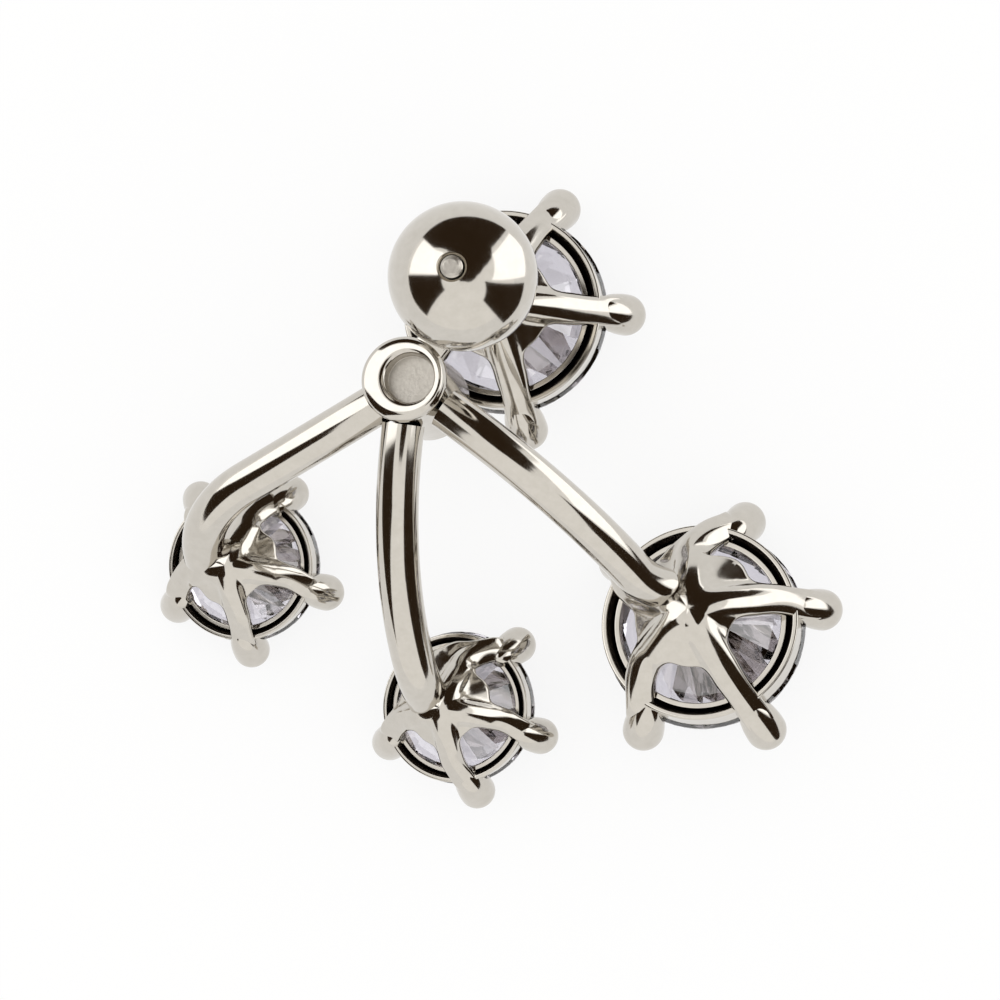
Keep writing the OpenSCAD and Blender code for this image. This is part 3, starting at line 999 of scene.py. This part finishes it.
def make_jacket_ring(settings):
    """The ring that hangs on the post, and the neck that joins it to the hub."""
    place = post_place()
    r, hole = RING_D / 2, POST_D / 2 + RING_GAP
    low, high = RING_Z, RING_Z + RING_H
    corners = [(r, low, 0.15), (r, high, 0.15), (hole, high, 0.08), (hole, low, 0.08)]
    ring = finish_mesh("jacket_ring", turned(rounded(corners, closed=True), closed=True), place)
    hub = place.inverted() @ hub_place() @ Vector((0, 0, -NECK_AIM))
    reach = math.hypot(hub.x, hub.y)
    bm = bmesh.new()
    bmesh.ops.create_cube(bm, size=1.0)
    neck_h = RING_H - NECK_DROP
    start, end = hole + NECK_START, reach - HUB_D / 2 + NECK_IN_HUB
    middle = Vector(((start + end) / 2, 0, RING_Z + neck_h / 2))
    bm.transform(Matrix.Diagonal((end - start, NECK_W, neck_h, 1.0)))
    bmesh.ops.bevel(bm, geom=bm.edges, offset=NECK_EDGE, segments=4, affect="EDGES", profile=0.5)
    bm.transform(Matrix.Rotation(math.atan2(hub.y, hub.x), 4, "Z") @ Matrix.Translation(middle))
    neck = finish_mesh("neck", bm, place)
    coat(ring, settings, rhodium_silver)
    coat(neck, settings, rhodium_silver)
    return join_meshes("jacket_ring", [ring, neck])


def make_post(settings):
    """The ear post: its cut end, seen in the ball, is matt inside a small chamfer."""
    d = stone_size("stud_stone")[0]
    foot, end = pad_z(d) - POST_SINK, BALL_Z + BALL_D / 2 + POST_PROUD
    r = POST_D / 2
    corners = [
        (0, foot, 0),
        (r, foot, 0),
        (r, end - POST_CHAMFER, 0.05),
        (r - POST_CHAMFER, end, 0.08),
        (0, end, 0),
    ]
    bm = turned(rounded(corners), around=48)
    for face in bm.faces:
        face.material_index = int(face.calc_center_median().z > end - 0.12)
    post = finish_mesh("ear_post", bm, post_place())
    coat(post, settings, rhodium_silver, cast_silver)
    return post


def make_ball(settings):
    """The ball back: a mirror-bright ball with a small countersink where the post comes out."""
    hole, r = POST_D / 2 + BALL_GAP, BALL_D / 2
    profile = []
    start = math.asin((hole + BALL_SINK) / r)
    for k in range(BALL_ROWS + 1):
        a = start + (math.pi - 2 * start) * k / BALL_ROWS
        profile.append((r * math.sin(a), BALL_Z + r * math.cos(a)))
    low, high = profile[-1][1], profile[0][1]
    profile = [(hole, high - BALL_SINK)] + profile + [(hole, low + BALL_SINK)]
    ball = finish_mesh("polished_ball", turned(profile, around=160, closed=True), post_place())
    coat(ball, settings, rhodium_silver)
    return ball


# Operators


class EARRING_OT_stones(bpy.types.Operator):
    """Gives the four cut stones their material"""

    bl_idname = "earring.stones"
    bl_label = "Stones"

    def execute(self, context):
        for row in SETTINGS.values():
            node = frame["nodes"][row["stone"]]
            node.data.materials.clear()
            coat(node, context.scene, cubic_zirconia)
        return {"FINISHED"}


class EARRING_OT_stud(bpy.types.Operator):
    """Builds the stud's setting and its ear post"""

    bl_idname = "earring.stud"
    bl_label = "Stud"

    def execute(self, context):
        mount = make_setting("stud", context.scene)
        post = make_post(context.scene)
        for obj in (mount, post):
            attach(obj, "stud")
        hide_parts("stud_setting")
        return {"FINISHED"}


class EARRING_OT_drops(bpy.types.Operator):
    """Builds the jacket's three settings and the wires that carry them"""

    bl_idname = "earring.drops"
    bl_label = "Drops"

    def execute(self, context):
        for name in LANDINGS:
            for obj in (make_setting(name, context.scene), make_wire(name, context.scene)):
                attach(obj, "jacket")
        return {"FINISHED"}


class EARRING_OT_hub(bpy.types.Operator):
    """Builds the jacket's hub, its neck and its ring on the post"""

    bl_idname = "earring.hub"
    bl_label = "Hub"

    def execute(self, context):
        hub = make_hub(context.scene)
        ring = make_jacket_ring(context.scene)
        for obj in (hub, ring):
            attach(obj, "jacket")
        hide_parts("jacket_frame")
        return {"FINISHED"}


class EARRING_OT_ball(bpy.types.Operator):
    """Builds the ball back"""

    bl_idname = "earring.ball"
    bl_label = "Ball back"

    def execute(self, context):
        ball = make_ball(context.scene)
        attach(ball, "ball")
        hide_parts("ball_back")
        return {"FINISHED"}


def glow_material(name, colour, strength):
    """The light or dark face of a studio card."""
    material, tree = new_material(name)
    shader = add_node(tree, "ShaderNodeEmission", {"Color": colour, "Strength": strength})
    end_material(tree, shader)
    return material


def make_card(name, row, centre, turn):
    """A studio card that only reflections and the stones see. Its low part lies on the floor."""
    bm = bmesh.new()
    flat = []
    corners = row["corners"]
    for (a0, h0), (a1, h1) in zip(corners, corners[1:] + corners[:1]):
        turn_on = (a1 - a0 + 180) % 360 - 180
        span = max(abs(turn_on) * math.cos(math.radians(h0)), abs(h1 - h0))
        steps = max(1, round(span / CARD_STEP_DEG))
        for k in range(steps):
            a = math.radians(a0 + turn_on * k / steps)
            h = math.radians(h0 + (h1 - h0) * k / steps)
            r = math.tan((math.pi / 2 - h) / 2)
            flat.append(bm.verts.new((r * math.sin(a), r * math.cos(a), 0)))
    bm.faces.new(flat)
    bmesh.ops.triangulate(bm, faces=bm.faces)
    bmesh.ops.subdivide_edges(bm, edges=bm.edges, cuts=5, use_grid_fill=True)
    for v in bm.verts:
        r2 = v.co.x**2 + v.co.y**2
        way = turn @ Vector((2 * v.co.x, 2 * v.co.y, 1 - r2)) / (1 + r2)
        reach = CARD_DISTANCE * (SOFTBOX_FARTHER if row["glow"] else 1.0)
        if way.z * reach < -centre.z + FLOOR_GAP:
            reach = (-centre.z + FLOOR_GAP) / way.z
        v.co = centre + way * reach
    card = new_object(name, mesh_of(name, bm))
    colour = SOFTBOX if row["glow"] else DARK_CARD
    card.data.materials.append(glow_material(name, linear(colour), row["glow"] or 1.0))
    card.visible_camera = card.visible_diffuse = card.visible_shadow = False
    return card


class EARRING_OT_stage(bpy.types.Operator):
    """Builds the floor, the light, the studio cards and the camera"""

    bl_idname = "earring.stage"
    bl_label = "Stage"

    def execute(self, context):
        scene = context.scene
        world = bpy.data.worlds.new("Light tent")
        world.use_nodes = True
        background = world.node_tree.nodes["Background"]
        background.inputs["Color"].default_value = linear(TENT)
        background.inputs["Strength"].default_value = TENT_STRENGTH
        scene.world = world
        scene.view_settings.view_transform = "Standard"
        bm = bmesh.new()
        bmesh.ops.create_grid(bm, x_segments=1, y_segments=1, size=FLOOR_HALF)
        floor = new_object("floor", mesh_of("floor", bm))
        material, tree = new_material("White sweep")
        paper = add_node(tree, "ShaderNodeBsdfDiffuse", {"Color": linear(scene.earring_finish.floor)})
        light = add_node(tree, "ShaderNodeEmission", {"Color": (1, 1, 1, 1), "Strength": FLOOR_GLOW})
        both = {0: GLOW_PART, 1: paper.outputs[0], 2: light.outputs[0]}
        mix = add_node(tree, "ShaderNodeMixShader", both)
        end_material(tree, mix)
        floor.data.materials.append(material)
        middle = Vector(post_place() @ Vector((0, 0, BALL_Z))) * MM
        back = (design_turn() @ TO_CAMERA).normalized()
        side = (design_turn() @ CAMERA_UP).cross(back).normalized()
        up = back.cross(side)
        turn = Matrix((side, up, back)).transposed()
        for name, row in CARDS.items():
            make_card(name, row, middle, turn)
        data = bpy.data.cameras.new("camera")
        data.sensor_width = SENSOR_WIDTH
        data.lens = SENSOR_WIDTH * CAMERA_DISTANCE / FRAME_WIDTH
        data.clip_start, data.clip_end = 0.01, 10.0
        camera = new_object("camera", data)
        aim = middle + turn @ Vector(AIM_FROM_BALL) * MM
        camera.matrix_world = Matrix.Translation(aim + back * CAMERA_DISTANCE) @ turn.to_4x4()
        scene.camera = camera
        return {"FINISHED"}


class EARRING_PT_panel(bpy.types.Panel):
    """Lists what the earring is built from"""

    bl_idname = "EARRING_PT_panel"
    bl_label = "Cluster earring"
    bl_space_type = "VIEW_3D"
    bl_region_type = "UI"
    bl_category = "Earring"

    def draw(self, context):
        for name in OPERATORS:
            self.layout.operator(name)
        for group in (context.scene.earring_sizes, context.scene.earring_finish):
            for key in group.bl_rna.properties.keys():
                if key not in ("rna_type", "name"):
                    self.layout.prop(group, key)


OPERATORS = (
    "earring.stones",
    "earring.stud",
    "earring.drops",
    "earring.hub",
    "earring.ball",
    "earring.stage",
)
CLASSES = (
    EarringSizes,
    EarringFinish,
    EARRING_OT_stones,
    EARRING_OT_stud,
    EARRING_OT_drops,
    EARRING_OT_hub,
    EARRING_OT_ball,
    EARRING_OT_stage,
    EARRING_PT_panel,
)


def register():
    for cls in CLASSES:
        bpy.utils.register_class(cls)
    bpy.types.Scene.earring_sizes = bpy.props.PointerProperty(type=EarringSizes)
    bpy.types.Scene.earring_finish = bpy.props.PointerProperty(type=EarringFinish)


def unregister():
    del bpy.types.Scene.earring_finish
    del bpy.types.Scene.earring_sizes
    for cls in reversed(CLASSES):
        bpy.utils.unregister_class(cls)


def main():
    register()
    for name in OPERATORS:
        group, operator = name.split(".")
        getattr(getattr(bpy.ops, group), operator)()


if __name__ == "__main__":
    main()
